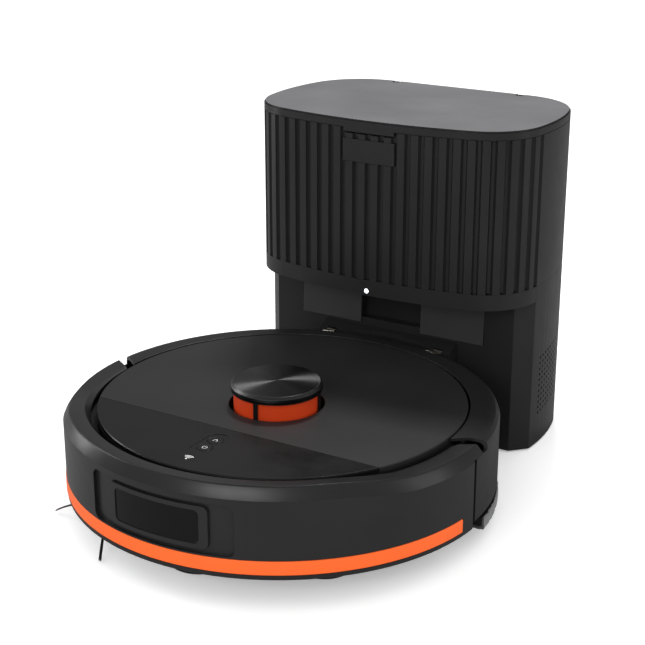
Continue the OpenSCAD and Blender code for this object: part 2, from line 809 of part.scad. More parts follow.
// Wedge that slopes the plate's edge from y down to its front
module ramp_cut(y, run) {
    rotate([90, 0, 90]) translate([0, 0, -200]) linear_extrude(400)
        polygon([[y - 40, 4], [y, 4], [y + run, plate_t + eps], [y + run, plate_t + 5], [y - 40, plate_t + 5]]);
}

module dock_feet() {
    color("#0c0c0c") for (p = foot_spots) translate([p[0], p[1], 0]) cylinder(r = 10, h = 2.9);
}

module leg_plan(d) {
    difference() {
        dock_plan(d);
        translate([-big, -big]) square([2 * big, big + bay_y - d]);
        for (s = [-1, 1]) polygon([[s * (dock_w / 2 - 14.4 + d), bay_y - d - eps],
            [s * (dock_w / 2 + 10), bay_y - d - eps],
            [s * (dock_w / 2 + 10), bay_y + 24.8 - d], [s * (dock_w / 2 - 2.6 + d), bay_y + 12.3 - d]]);
    }
}

module lower_shell() {
    color("#252527") difference() {
        union() {
            translate([0, 0, 1.5]) linear_extrude(lip_h + 1) leg_plan(0);
            translate([0, 0, lip_h]) linear_extrude(seam_h - lip_h - 0.1) dock_plan(0);
            port_block();
        }
        difference() {
            union() {
                translate([0, 0, 4]) linear_extrude(seam_h - 6.6) leg_plan(-3);
                translate([0, 0, lip_h + 3]) linear_extrude(seam_h - lip_h - 5.6) dock_plan(-3);
            }
            box([-31.5, bay_y, 97], [31.5, bay_y + 11, lip_h + 6]);
            box([-66, bay_y, 30], [66, bay_y + 5, 93]);
        }
        box([-29.5, bay_y - 10, 100], [29.5, bay_y + 9, lip_h - eps]);
        box([-23.4, bay_y - 12, port_z - 14.4], [23.4, bay_y + 5.5, port_z + 14.4]);
        both_sides() box([contact_x - 4.4, bay_y - 30, 77], [contact_x + 4.4, bay_y + 2, 88.6]);
        both_sides() box([29.6, bay_y - 10, 95], [91.5, bay_y + 2, lip_h - eps]);
        translate([0, duct_y, 100]) cylinder(r = 15.5, h = 100);
        bar_y(2.05, front_y - 5, front_y + 10, 0, 142.6);
        for (p = foot_spots) translate([p[0], p[1], 0]) cylinder(r = 10.1, h = 3);
        both_sides() side_vent();
        box([36, back_y - 5, 20], [60, back_y + 5, 38]);
    }
}

// Block behind the robot that carries the suction port and the charging contacts
module port_block() {
    difference() {
        box([-66, bay_y - 25, 30], [66, bay_y - seam, 93]);
        cylinder(r = robot_r - 0.4, h = big, center = true, $fn = 180);
        translate([0, 0, 93]) rotate([90, 0, 90]) translate([0, 0, -100]) linear_extrude(200)
            polygon([[bay_y - 30, -12], [bay_y, 0.1], [bay_y, 5], [bay_y - 30, 5]]);
    }
}

// Rows of round holes that rise towards the back
module side_vent() {
    for (i = [0:7], j = [0:10])
        translate([dock_w / 2 - 8, 208.5 + i * 5.8, 31 + j * 5.2 + i * 0.7]) rotate([0, 90, 0])
            cylinder(r = 1.3, h = 12, $fn = 12);
}

module face_panels() {
    color("#5c5d60") both_sides() rotate([90, 0, 90]) translate([0, 0, 30]) linear_extrude(61.2)
        polygon([[bay_y - 1.6, 95.3], [bay_y + 1.9, 95.3], [bay_y + 1.9, lip_h - 0.3],
            [bay_y + 0.9, lip_h - 0.3]]);
}

module flute_plan() {
    for (i = [-13:13]) {
        s = abs(i) * flute_pitch;
        p = point_at(s);
        a = bearing_at(s);
        mirror([i < 0 ? 1 : 0, 0]) translate(p) rotate(a)
            polygon([[-2.9, -0.5], [2.9, -0.5], [2.4, flute_depth * 0.6], [1.2, flute_depth],
                [-1.2, flute_depth], [-2.4, flute_depth * 0.6]]);
    }
}

module handle_zone(gap) {
    box([-24.6 - gap, front_y - 2, 255 - gap], [24.6 + gap, front_y + 10, 274.5 + gap]);
}

module upper_shell() {
    color("#29292b") difference() {
        union() {
            translate([0, 0, seam_h]) linear_extrude(flute_top - seam_h) difference() {
                dock_plan(0);
                dock_plan(-flute_depth - 2.5);
                flute_plan();
            }
            both_sides() difference() {
                box([60, hinge_y - 3.2, flute_top - 14], [66, back_y, hinge_z + 3]);
                bar_x(2 + run_gap, 0, big, hinge_y, hinge_z);
            }
        }
        intersection() {
            handle_zone(0.1);
            translate([0, 0, 200]) linear_extrude(100) difference() {
                dock_plan(1);
                dock_plan(-flute_depth - 0.1);
            }
        }
        box([-25, front_y - 2, flute_top - 4.5], [25, front_y + 4.6, flute_top + 1]);
        box([-59.5, hinge_y - 5.5, flute_top - 2.2], [59.5, back_y + 1, flute_top + 1]);
        both_sides() box([66.5, hinge_y - 5.5, flute_top - 2.2], [90, back_y + 1, flute_top + 1]);
    }
}

module handle_bar() {
    color("#303033") intersection() {
        handle_zone(0);
        translate([0, 0, 200]) linear_extrude(100) difference() {
            dock_plan(0);
            dock_plan(-flute_depth);
        }
    }
}

module dock_lid() {
    color("#6d6e71") difference() {
        union() {
            translate([0, 0, dock_h - lid_t]) linear_extrude(lid_t - 1.5) dock_plan(0);
            translate([0, 0, dock_h - 1.6]) linear_extrude(1.6) dock_plan(-1.2);
            translate([0, 0, dock_h - lid_t - 3]) linear_extrude(3.1) difference() {
                dock_plan(-flute_depth - 3.4);
                dock_plan(-flute_depth - 5.4);
            }
            intersection() {
                box([-24, front_y - 1, dock_h - lid_t - 3.4], [24, front_y + 3.6, dock_h - 3]);
                translate([0, 0, 200]) linear_extrude(100) dock_plan(0);
            }
        }
        both_sides() box([59.5, hinge_y - 5, dock_h - lid_t - 10], [66.5, back_y + 5, dock_h + 5]);
        bar_x(2 + run_gap, -big, big, hinge_y, hinge_z);
    }
}

module lid_pin() {
    color("#b8bcc0") bar_x(2, -66, 66, hinge_y, hinge_z);
}

module status_led() {
    color("#f4f6ff") bar_y(2, front_y, front_y + 3, 0, 142.6);
}

module port_seal() {
    color("#111112") difference() {
        box([-23, shell_r + part_gap, port_z - 14], [23, bay_y + 5, port_z + 14]);
        box([-port_half_w, 0, port_z - port_half_h], [port_half_w, big, port_z + port_half_h]);
        box([-24, bay_y - 3.4, port_z - 15], [-21, bay_y - 1.4, port_z + 15]);
        box([21, bay_y - 3.4, port_z - 15], [24, bay_y - 1.4, port_z + 15]);
    }
}

// Square duct from the port to the elbow below the bag, and up
module duct_path(side, low_y, top) {
    box([-side, low_y, port_z - side], [side, duct_y + side, port_z + side]);
    box([-side, duct_y - side, port_z - side], [side, duct_y + side, top]);
}

module dust_duct() {
    color("#38393c") difference() {
        duct_path(18, bay_y + 5.6, seam_h - 2.7);
        duct_path(15.6, bay_y, seam_h + 5);
    }
}

module dust_bag() {
    color("#d9d6cc") difference() {
        union() {
            translate([0, 0, seam_h + 6]) linear_extrude(110) dock_plan(-14);
            translate([0, duct_y, seam_h + 0.2]) cylinder(r = 24, h = 8);
        }
        translate([0, duct_y, 100]) cylinder(r = 14, h = seam_h - 70);
    }
}

module dock_fan() {
    color("#4d4e52") translate([0, 268, 6]) rotate([0, 0, 90]) fan_casing(29, 66, 34);
}

module dock_impeller() {
    color("#d0d0cc") translate([0, 268, 43]) impeller(24, 18);
}

module dock_contact() {
    docked() difference() {
        box([contact_x - 4, 166, 65.6], [contact_x + 4, bay_y - 2.6, 76]);
        cylinder(r = shell_r + 0.7, h = big, center = true, $fn = 180);
    }
}

module dock_contact_left() {
    color("#c9b27a") dock_contact();
}

module dock_contact_right() {
    color("#c9b27a") mirror([1, 0, 0]) dock_contact();
}

module power_inlet() {
    color("#101011") difference() {
        box([36.1, back_y - 14, 20.1], [59.9, back_y - 0.2, 37.9]);
        box([40, back_y - 10, 24], [56, back_y + 5, 34]);
    }
    color("#c9b27a") for (x = [44.5, 51.5]) bar_y(1.2, back_y - 10.1, back_y - 3, x, 29);
}

chassis();
rear_shell();
deck();
front_deck();
top_cover();
lidar_cage();
lidar_cap();
lidar_drum();
lidar_motor();
lidar_pulley();
lidar_belt();
bumper_shell();
accent_strip();
sensor_window();
bumper_springs();
wheel_arm_left();
wheel_arm_right();
wheel_rim_left();
wheel_rim_right();
wheel_tyre_left();
wheel_tyre_right();
arm_springs();
caster_fork();
caster_wheel();
main_brush();
brush_guard();
brush_motor();
side_brush();
side_brush_motor();
battery();
main_board();
suction_fan();
fan_impeller();
dust_bin();
bin_filter();
mop_bracket();
mop_pad();
water_tank();
cliff_sensors();
charge_contacts();
chassis_screws();
power_button();
home_button();
base_plate();
dock_feet();
lower_shell();
face_panels();
upper_shell();
handle_bar();
status_led();
port_seal();
dust_duct();
dust_bag();
dock_fan();
dock_impeller();
dock_contact_left();
dock_contact_right();
dock_lid();
lid_pin();
power_inlet();
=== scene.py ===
"""Looks of the robot vacuum in its self-emptying station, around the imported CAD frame."""
import json
import math

import bmesh
import bpy
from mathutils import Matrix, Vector


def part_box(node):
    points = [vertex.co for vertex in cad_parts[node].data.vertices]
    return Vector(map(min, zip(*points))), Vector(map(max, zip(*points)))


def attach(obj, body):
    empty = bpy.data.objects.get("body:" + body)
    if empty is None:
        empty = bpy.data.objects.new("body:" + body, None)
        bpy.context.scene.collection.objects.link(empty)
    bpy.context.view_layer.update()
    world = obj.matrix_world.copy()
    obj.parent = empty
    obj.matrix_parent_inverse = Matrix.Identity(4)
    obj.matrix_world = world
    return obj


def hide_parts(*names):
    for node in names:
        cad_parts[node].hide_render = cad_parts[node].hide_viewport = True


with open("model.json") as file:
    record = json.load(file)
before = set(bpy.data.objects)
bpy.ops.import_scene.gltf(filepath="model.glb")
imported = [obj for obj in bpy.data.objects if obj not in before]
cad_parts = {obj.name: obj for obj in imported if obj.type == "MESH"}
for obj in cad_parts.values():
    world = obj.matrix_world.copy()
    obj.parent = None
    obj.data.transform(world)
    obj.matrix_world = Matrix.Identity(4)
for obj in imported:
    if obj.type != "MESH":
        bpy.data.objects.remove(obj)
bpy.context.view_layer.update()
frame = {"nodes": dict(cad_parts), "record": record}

NODES = frame["nodes"]
MM = 0.001


# ---------- materials ----------

class Build:
    """Short helpers for one node material."""

    def __init__(self, name, **settings):
        self.mat = bpy.data.materials.new(name)
        self.mat.use_nodes = True
        self.tree = self.mat.node_tree
        self.bsdf = self.tree.nodes["Principled BSDF"]
        for key, value in settings.items():
            self.bsdf.inputs[key.replace("_", " ")].default_value = value
        self.coord = self.tree.nodes.new("ShaderNodeTexCoord").outputs["Object"]

    def node(self, kind, **values):
        made = self.tree.nodes.new("ShaderNode" + kind)
        for key, value in values.items():
            if key in made.inputs:
                made.inputs[key].default_value = value
            else:
                setattr(made, key, value)
        return made

    def link(self, a, b):
        self.tree.links.new(a, b)

    def noise(self, scale, detail=3.0, rough=0.5, stretch=None):
        tex = self.node("TexNoise", Scale=scale, Detail=detail, Roughness=rough)
        source = self.coord
        if stretch:
            mapping = self.node("Mapping")
            mapping.inputs["Scale"].default_value = stretch
            self.link(source, mapping.inputs["Vector"])
            source = mapping.outputs["Vector"]
        self.link(source, tex.inputs["Vector"])
        return tex.outputs["Fac"]

    def ramp(self, fac, stops):
        ramp = self.node("ValToRGB")
        elements = ramp.color_ramp.elements
        while len(elements) < len(stops):
            elements.new(0.5)
        for element, (pos, colour) in zip(elements, stops):
            element.position = pos
            element.color = (*colour, 1.0) if len(colour) == 3 else colour
        self.link(fac, ramp.inputs["Fac"])
        return ramp.outputs["Color"]

    def range(self, fac, low, high):
        rng = self.node("MapRange")
        rng.inputs["To Min"].default_value = low
        rng.inputs["To Max"].default_value = high
        self.link(fac, rng.inputs["Value"])
        return rng.outputs["Result"]

    def bump(self, fac, strength, distance):
        bump = self.node("Bump", Strength=strength, Distance=distance)
        self.link(fac, bump.inputs["Height"])
        last = self.bsdf.inputs["Normal"]
        if last.is_linked:
            self.link(last.links[0].from_socket, bump.inputs["Normal"])
        self.link(bump.outputs["Normal"], last)

    def set(self, socket, value):
        self.link(value, self.bsdf.inputs[socket])


# Heights of surface reliefs, in metres
GRAIN_HEIGHT = 0.00006
WAVINESS_HEIGHT = 0.0002
BRUSHING_HEIGHT = 0.00005
TURNING_HEIGHT = 0.00003
RUBBER_HEIGHT = 0.0001
THREAD_HEIGHT = 0.00015

# Distance of the turret's axis behind the robot's centre, in metres
TURRET_BACK = 0.0094


def shade(colour, factor):
    return tuple(min(1.0, c * factor) for c in colour)


def moulded(name, colour, rough=0.42, grain=2200.0, grain_depth=0.25, spread=0.12, **more):
    """Moulded plastic: fine spark-eroded grain, slight colour drift and handling marks."""
    b = Build(name, Roughness=rough, **{"Specular_IOR_Level": 0.32, **more})
    drift = b.noise(14.0, 4.0)
    b.set("Base Color", b.ramp(drift, [(0.3, shade(colour, 1 - spread)),
                                       (0.7, shade(colour, 1 + spread))]))
    wear = b.noise(60.0, 6.0, 0.65)
    b.set("Roughness", b.range(wear, rough - 0.07, rough + 0.07))
    if grain_depth:
        b.bump(b.noise(grain, 2.0, 0.6), grain_depth, GRAIN_HEIGHT)
    return b.mat


def polished(name, colour, rough=0.06, **more):
    """High-gloss plastic with faint smudges and a trace of moulding waviness."""
    b = Build(name, Roughness=rough, **more)
    b.set("Base Color", b.ramp(b.noise(9.0), [(0.35, shade(colour, 0.9)),
                                              (0.65, shade(colour, 1.15))]))
    b.set("Roughness", b.range(b.noise(35.0, 6.0, 0.7), rough * 0.7, rough * 1.7))
    b.bump(b.noise(30.0, 1.0), 0.05, WAVINESS_HEIGHT)
    return b.mat


def metal(name, colour, rough=0.3):
    """Bare metal with directional brushing."""
    b = Build(name, Metallic=1.0, Roughness=rough)
    brush = b.noise(240.0, 3.0, 0.6, stretch=(1.0, 1.0, 14.0))
    b.set("Base Color", b.ramp(brush, [(0.3, shade(colour, 0.8)), (0.7, shade(colour, 1.1))]))
    b.set("Roughness", b.range(brush, rough - 0.1, rough + 0.12))
    b.bump(brush, 0.12, BRUSHING_HEIGHT)
    return b.mat


def spun(name, colour, rough=0.26):
    """Dark metal turned on a lathe: fine rings and the light wedges that they throw."""
    b = Build(name, Metallic=1.0, Roughness=rough, Anisotropic=0.92)
    rings = b.node("TexWave", Scale=420.0, Distortion=0.0, wave_type="RINGS", rings_direction="Z")
    centre = b.node("Mapping")
    centre.inputs["Location"].default_value = (0.0, TURRET_BACK, 0.0)
    b.link(b.coord, centre.inputs["Vector"])
    b.link(centre.outputs["Vector"], rings.inputs["Vector"])
    b.set("Base Color", b.ramp(rings.outputs["Fac"], [(0.2, shade(colour, 0.82)),
                                                      (0.8, shade(colour, 1.15))]))
    tangent = b.node("Tangent", direction_type="RADIAL", axis="Z")
    b.set("Tangent", tangent.outputs["Tangent"])
    b.bump(rings.outputs["Fac"], 0.04, TURNING_HEIGHT)
    return b.mat


def rubber(name, colour, rough=0.75):
    """Rubber with a dusty, dull surface."""
    b = Build(name, Roughness=rough)
    dust = b.noise(90.0, 6.0, 0.7)
    b.set("Base Color", b.ramp(dust, [(0.35, colour), (0.8, shade(colour, 2.2))]))
    b.set("Roughness", b.range(dust, rough - 0.1, min(rough + 0.15, 1.0)))
    b.bump(b.noise(900.0, 3.0), 0.25, RUBBER_HEIGHT)
    return b.mat


def woven(name, colour, scale, depth=0.6):
    """Cloth: crossing threads and colour flecks."""
    b = Build(name, Roughness=0.92, Sheen_Weight=0.5)
    fleck = b.noise(160.0, 5.0, 0.7)
    b.set("Base Color", b.ramp(fleck, [(0.3, shade(colour, 0.72)), (0.7, shade(colour, 1.18))]))
    for axis in ("X", "Y"):
        wave = b.node("TexWave", Scale=scale, Distortion=0.6, bands_direction=axis)
        b.link(b.coord, wave.inputs["Vector"])
        b.bump(wave.outputs["Fac"], depth, THREAD_HEIGHT)
    return b.mat


MATS = {
    "dark_shell": moulded("dark_shell", (0.013, 0.013, 0.0137), 0.38),
    "inner_black": moulded("inner_black", (0.008, 0.008, 0.0085), 0.5),
    "piano_black": polished("piano_black", (0.0052, 0.0052, 0.0056), 0.26,
                            Specular_IOR_Level=0.3),
    "cover_matte": moulded("cover_matte", (0.0165, 0.0165, 0.0175), 0.5, 1800.0, 0.3),
    "bumper": moulded("bumper", (0.0135, 0.0135, 0.0142), 0.33, Specular_IOR_Level=0.42),
    "turret_cap": spun("turret_cap", (0.11, 0.11, 0.112)),
    "orange": moulded("orange", (0.86, 0.125, 0.02), 0.38, 1500.0, 0.12, 0.05,
                      Specular_IOR_Level=0.2),
    "ir_window": polished("ir_window", (0.0022, 0.0022, 0.0028), 0.12, Specular_IOR_Level=0.3),
    "metal": metal("metal", (0.6, 0.6, 0.61)),
    "contact_metal": metal("contact_metal", (0.4, 0.38, 0.33), 0.32),
    "rim_plastic": moulded("rim_plastic", (0.03, 0.03, 0.032), 0.5),
    "tyre": rubber("tyre", (0.0075, 0.0075, 0.0075)),
    "white_plastic": moulded("white_plastic", (0.66, 0.66, 0.64), 0.4),
    "brush_rubber": rubber("brush_rubber", (0.026, 0.026, 0.028), 0.6),
    "bristles": moulded("bristles", (0.014, 0.014, 0.014), 0.35, 800.0, 0.1),
    "battery_wrap": polished("battery_wrap", (0.05, 0.11, 0.3), 0.28),
    "board": moulded("board", (0.01, 0.11, 0.04), 0.4, 500.0, 0.1),
    "fan_grey": moulded("fan_grey", (0.08, 0.08, 0.09), 0.45),
    "bin_smoke": polished("bin_smoke", (0.035, 0.035, 0.04), 0.14),
    "filter_paper": woven("filter_paper", (0.75, 0.75, 0.71), 500.0),
    "mop_fabric": woven("mop_fabric", (0.05, 0.051, 0.055), 700.0),
    "bag_fleece": woven("bag_fleece", (0.64, 0.62, 0.56), 350.0, 0.4),
    "dock_shell": moulded("dock_shell", (0.014, 0.014, 0.0148), 0.34),
    "dock_grey": moulded("dock_grey", (0.03, 0.03, 0.0315), 0.45),
    "lid_grey": moulded("lid_grey", (0.15, 0.15, 0.156), 0.42),
    "led": moulded("led", (0.9, 0.92, 1.0), 0.3, 300.0, 0.0, 0.02,
                   Emission_Color=(0.9, 0.95, 1.0, 1.0), Emission_Strength=2.5),
    "soft_black": rubber("soft_black", (0.009, 0.009, 0.009), 0.62),
}

SLOT_OF = {entry["node"]: entry["material_slot"] for entry in frame["record"]["subparts"]}
BODY_OF = {node: body for body, nodes in frame["record"]["behaviour"]["bodies"].items()
           for node in nodes}


def dress_nodes():
    for name, obj in NODES.items():
        mat = MATS[SLOT_OF[name]]
        if not obj.material_slots:
            obj.data.materials.append(mat)
        for place in obj.material_slots:
            place.material = mat


# ---------- helpers for pieces ----------

def link_to_scene(obj):
    bpy.context.scene.collection.objects.link(obj)


def add_piece(name, mesh, body, slot, *nodes):
    """A piece in the shared frame: it rides on a body, takes a slot's finish, stands for nodes."""
    obj = bpy.data.objects.new(name, mesh)
    link_to_scene(obj)
    mesh.materials.append(MATS[slot])
    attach(obj, body)
    if nodes:
        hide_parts(*nodes)
    return obj


def refinish(piece, mat):
    """Gives a skin a material of its own within its slot, here a darker copy that is painted
    shade.
    """
    bpy.data.objects[piece].data.materials[0] = mat


def smooth_all(mesh):
    for poly in mesh.polygons:
        poly.use_smooth = True


def smooth_by_angle(obj, degrees):
    smooth_all(obj.data)
    obj.data.set_sharp_from_angle(angle=math.radians(degrees))


def apply_modifiers(obj):
    depsgraph = bpy.context.evaluated_depsgraph_get()
    done = bpy.data.meshes.new_from_object(obj.evaluated_get(depsgraph))
    obj.modifiers.clear()
    obj.data = done


def thicken(obj, thickness, side):
    solid = obj.modifiers.new("thickness", "SOLIDIFY")
    solid.thickness = thickness
    solid.offset = side
    apply_modifiers(obj)


def refine(node, width, angle, slot):
    """Bevelled, smooth-shaded copy of a CAD node, in place of its tessellated solid."""
    mesh = NODES[node].data.copy()
    mesh.materials.clear()
    bm = bmesh.new()
    bm.from_mesh(mesh)
    bmesh.ops.remove_doubles(bm, verts=bm.verts, dist=WELD * MM)
    if node not in KEEP_FACETS:
        bmesh.ops.dissolve_limit(bm, angle_limit=math.radians(FLAT_ANGLE), verts=bm.verts,
                                 edges=bm.edges)
    bm.to_mesh(mesh)
    bm.free()
    obj = add_piece(node + "_skin", mesh, BODY_OF[node], slot, node)
    if width:
        bevel = obj.modifiers.new("edges", "BEVEL")
        bevel.width = width * MM
        bevel.segments = 2
        bevel.limit_method = "ANGLE"
        bevel.angle_limit = math.radians(angle)
        bevel.miter_outer = "MITER_ARC"
        apply_modifiers(obj)
    smooth_by_angle(obj, angle)
    weigh = obj.modifiers.new("even_shading", "WEIGHTED_NORMAL")
    weigh.keep_sharp = True
    apply_modifiers(obj)


# Vertices of a skin closer than this are welded, in millimetres
WELD = 0.004
# Faces of a skin that meet below this angle are joined, in degrees
FLAT_ANGLE = 0.6
# Angle above which an edge is rounded and shaded sharp, in degrees, and its exceptions
EDGE_ANGLE = 33.0
EDGE_ANGLES = {"bumper_shell": 17.0, "rear_shell": 20.0, "lidar_cap": 18.0, "sensor_window": 20.0}
# Edge rounding of each CAD node's skin, in millimetres
EDGES = {
    "chassis": 0.4, "rear_shell": 0.45, "deck": 0.3, "front_deck": 0.15, "top_cover": 0.15,
    "lidar_cage": 0.2, "lidar_drum": 0.3, "lidar_cap": 0.15, "bumper_shell": 0.35,
    "accent_strip": 0.3, "sensor_window": 0.25, "wheel_arm_left": 0.6, "wheel_arm_right": 0.6,
    "wheel_rim_left": 0.4, "wheel_rim_right": 0.4, "wheel_tyre_left": 0.35,
    "wheel_tyre_right": 0.35, "caster_fork": 0.3, "caster_wheel": 0.4, "main_brush": 0.2,
    "brush_guard": 0.6, "brush_motor": 0.5, "side_brush": 0.2, "side_brush_motor": 0.4,
    "battery": 1.2, "main_board": 0.2, "suction_fan": 0.5, "fan_impeller": 0.2,
    "dust_bin": 0.6, "bin_filter": 0.4, "mop_bracket": 0.6, "water_tank": 1.2,
    "cliff_sensors": 0.3, "charge_contacts": 0.15, "chassis_screws": 0.15,
    "power_button": 0.2, "home_button": 0.2, "base_plate": 0.4, "dock_feet": 0.5,
    "lower_shell": 0.5, "face_panels": 0.3, "upper_shell": 0.35, "handle_bar": 0.4,
    "status_led": 0.1, "port_seal": 0.5, "dust_duct": 0.5, "dock_fan": 0.6,
    "dock_impeller": 0.25, "dock_contact_left": 0.4, "dock_contact_right": 0.4,
    "dock_lid": 0.45, "lid_pin": 0.3, "power_inlet": 0.3, "lidar_motor": 0.3,
    "lidar_pulley": 0.15, "lidar_belt": 0.1, "bumper_springs": 0, "arm_springs": 0,
}
# Skins whose large flat faces have many holes and keep their triangles
KEEP_FACETS = {"lower_shell"}
# Skins with another finish than the record's slot for most of the piece
SKIN_SLOTS = {"sensor_window": "bumper", "dock_lid": "dock_shell"}


# ---------- pieces made here ----------

# Thickness of printed symbols, in millimetres
INK = 0.04


def grid_mesh(name, rows):
    """Sheet of quads through rows of points."""
    mesh = bpy.data.meshes.new(name)
    across = len(rows[0])
    faces = [(i * across + j, i * across + j + 1, (i + 1) * across + j + 1, (i + 1) * across + j)
             for i in range(len(rows) - 1) for j in range(across - 1)]
    mesh.from_pydata([p for row in rows for p in row], [], faces)
    return mesh


def flat_arc(bm, centre, z, r_in, r_out, start, end):
    """Flat ring sector, angles in degrees from +X."""
    steps = 24
    ring = []
    for i in range(steps + 1):
        a = math.radians(start + (end - start) * i / steps)
        ring.append([bm.verts.new((centre[0] + r * math.cos(a), centre[1] + r * math.sin(a), z))
                     for r in (r_in, r_out)])
    for (a, b), (c, d) in zip(ring, ring[1:]):
        bm.faces.new((a, b, d, c))


def around(x, y, steps):
    """Points at steps in millimetres from a place."""
    return [(x + dx * MM, y + dy * MM) for dx, dy in steps]


def flat_poly(bm, points, z):
    bm.faces.new([bm.verts.new((x, y, z)) for x, y in points])


def raise_faces(bm, height):
    """Extrudes all faces of a flat drawing straight up."""
    made = bmesh.ops.extrude_face_region(bm, geom=list(bm.faces))
    bmesh.ops.translate(bm, vec=(0, 0, height),
                        verts=[v for v in made["geom"] if isinstance(v, bmesh.types.BMVert)])
    bmesh.ops.recalc_face_normals(bm, faces=bm.faces)


def mesh_of(bm, name):
    mesh = bpy.data.meshes.new(name)
    bm.to_mesh(mesh)
    bm.free()
    return mesh


def print_piece(name, body, draw):
    """Thin ink on a surface."""
    bm = bmesh.new()
    draw(bm)
    bmesh.ops.recalc_face_normals(bm, faces=bm.faces)
    for face in bm.faces:
        if face.normal.z < 0:
            face.normal_flip()
    raise_faces(bm, INK * MM)
    add_piece(name, mesh_of(bm, name), body, "white_plastic")


def centre_of(node):
    """X and Y of the middle of a node's box, and the height of its top."""
    low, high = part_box(node)
    return (low[0] + high[0]) / 2, (low[1] + high[1]) / 2, high[2]


def add_prints():
    """Symbols on the two keys and a signal symbol in front of them."""
    hx, hy, hz = centre_of("home_button")
    px, py, pz = centre_of("power_button")

    def home(bm):
        flat_poly(bm, around(hx, hy, [(-2.2, -0.2), (0.0, 2.1), (2.2, -0.2), (1.5, -0.2),
                                      (0.0, 1.2), (-1.5, -0.2)]), hz)
        for side in (-1, 1):
            flat_poly(bm, around(hx, hy, [(side * 1.7, -1.9), (side * 1.3, -1.9),
                                          (side * 1.3, -0.4), (side * 1.7, -0.4)]), hz)

    def power(bm):
        flat_arc(bm, (px, py), pz, 1.75 * MM, 2.2 * MM, 125, 415)
        flat_poly(bm, around(px, py, [(-0.22, 0.7), (0.22, 0.7), (0.22, 2.5), (-0.22, 2.5)]), pz)

    def signal(bm):
        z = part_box("front_deck")[1][2]
        spot = (px, py - 23.5 * MM)
        flat_arc(bm, spot, z, 0.0001 * MM, 0.9 * MM, 0, 360)
        for r in (2.0, 3.5, 5.0):
            flat_arc(bm, spot, z, r * MM, (r + 0.8) * MM, 45, 135)

    print_piece("home_symbol", "home_key", home)
    print_piece("power_symbol", "power_key", power)
    print_piece("signal_symbol", "robot", signal)


def add_lens():
    """Dark pane in the front window, following the bumper's curve, with rounded corners."""
    low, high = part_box("sensor_window")
    recess, border = 0.75 * MM, 3.9 * MM
    radius = -low[1] - recess
    z0, z1 = low[2] + border, high[2] - border
    half, corner = 36.6 * MM, 3.6 * MM
    rows = []
    steps_x, steps_z = 48, 12
    for i in range(steps_z + 1):
        z = z0 + (z1 - z0) * i / steps_z
        edge = min(z - z0, z1 - z)
        inset = corner - math.sqrt(max(0.0, corner ** 2 - (corner - min(edge, corner)) ** 2))
        xs = [(half - inset) * (2 * j / steps_x - 1) for j in range(steps_x + 1)]
        rows.append([(x, -math.sqrt(radius ** 2 - x ** 2), z) for x in xs])
    obj = add_piece("window_pane", grid_mesh("window_pane", rows), "bumper", "ir_window")
    thicken(obj, 0.2 * MM, -1.0)
    smooth_by_angle(obj, 30)


def add_lid_plate():
    """Grey satin plate let into the top of the lid, inside a dark rim."""
    rim, rise = 1.3 * MM, 0.05 * MM
    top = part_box("dock_lid")[1][2]
    bm = bmesh.new()
    bm.from_mesh(NODES["dock_lid"].data)
    away = [f for f in bm.faces
            if f.normal.z < 0.99 or f.calc_center_median().z < top - 0.05 * MM]
    bmesh.ops.delete(bm, geom=away, context="FACES")
    bmesh.ops.remove_doubles(bm, verts=bm.verts, dist=0.01 * MM)
    bmesh.ops.dissolve_limit(bm, angle_limit=math.radians(0.5), verts=bm.verts, edges=bm.edges)
    made = bmesh.ops.inset_region(bm, faces=list(bm.faces), thickness=rim, use_even_offset=True)
    bmesh.ops.delete(bm, geom=made["faces"], context="FACES")
    raise_faces(bm, rise)
    add_piece("lid_plate", mesh_of(bm, "lid_plate"), "station_lid", "lid_grey")


def add_bay_shade_sheet():
    """Dark sheet on the back of the channel between the two face panels: painted shade that
    darkens the recess.
    """
    (_, y0, _), (_, _, z1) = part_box("face_panels")
    half, depth = 29.3 * MM, 10.5 * MM
    back, z0 = y0 + depth, z1 - 38.1 * MM
    obj = add_piece("bay_liner", grid_mesh("bay_liner", [
        [(x, back, z) for x in (-half, -half / 2, 0.0, half / 2, half)]
        for z in (z0, z0 + 12 * MM, z0 + 25 * MM, z1 - 0.4 * MM)]), "station", "inner_black")
    thicken(obj, 0.3 * MM, 1.0)


def repeatable(i, k):
    """Number from 0 to 1 that looks random and is the same on every run."""
    v = math.sin(i * 12.9898 + k * 78.233) * 43758.5453
    return v - math.floor(v)


# Side brush, in millimetres and degrees
TUFT_BEARINGS = (60.5, 180.5, 300.5)
TUFT_REACH = 56.0
TUFT_DROP = 17.2
TUFT_TOP = 19.4
TUFT_START = 8.0
TUFT_RADIUS = (TUFT_REACH ** 2 + TUFT_DROP ** 2) / 2 / TUFT_DROP
TUFT_SPREAD = 1.25
BRISTLES = 44
BRISTLE_STEPS = 14
BRISTLE_SIDES = 5
HUB_RADIUS = 11.2
GOLDEN_ANGLE = 2.39996  # radians


def bristle_centres(tuft, k):
    """Middle line of one bristle along +X, with its half thickness, in millimetres."""
    angle = GOLDEN_ANGLE * k
    spread = TUFT_SPREAD * math.sqrt((k + 0.5) / BRISTLES)
    side, rise = spread * math.cos(angle), 0.8 * spread * math.sin(angle)
    flare = 0.25 + 0.45 * repeatable(k, tuft)
    length = TUFT_REACH * (0.955 + 0.045 * repeatable(k, tuft + 7))
    for i in range(BRISTLE_STEPS + 1):
        t = i / BRISTLE_STEPS
        along = TUFT_START + (length - TUFT_START) * t
        down = TUFT_RADIUS - math.sqrt(TUFT_RADIUS ** 2 - along ** 2)
        yield (along, side * (0.55 + flare * t), TUFT_TOP - down + rise * (1 - 0.3 * t),
               0.15 - 0.04 * t)


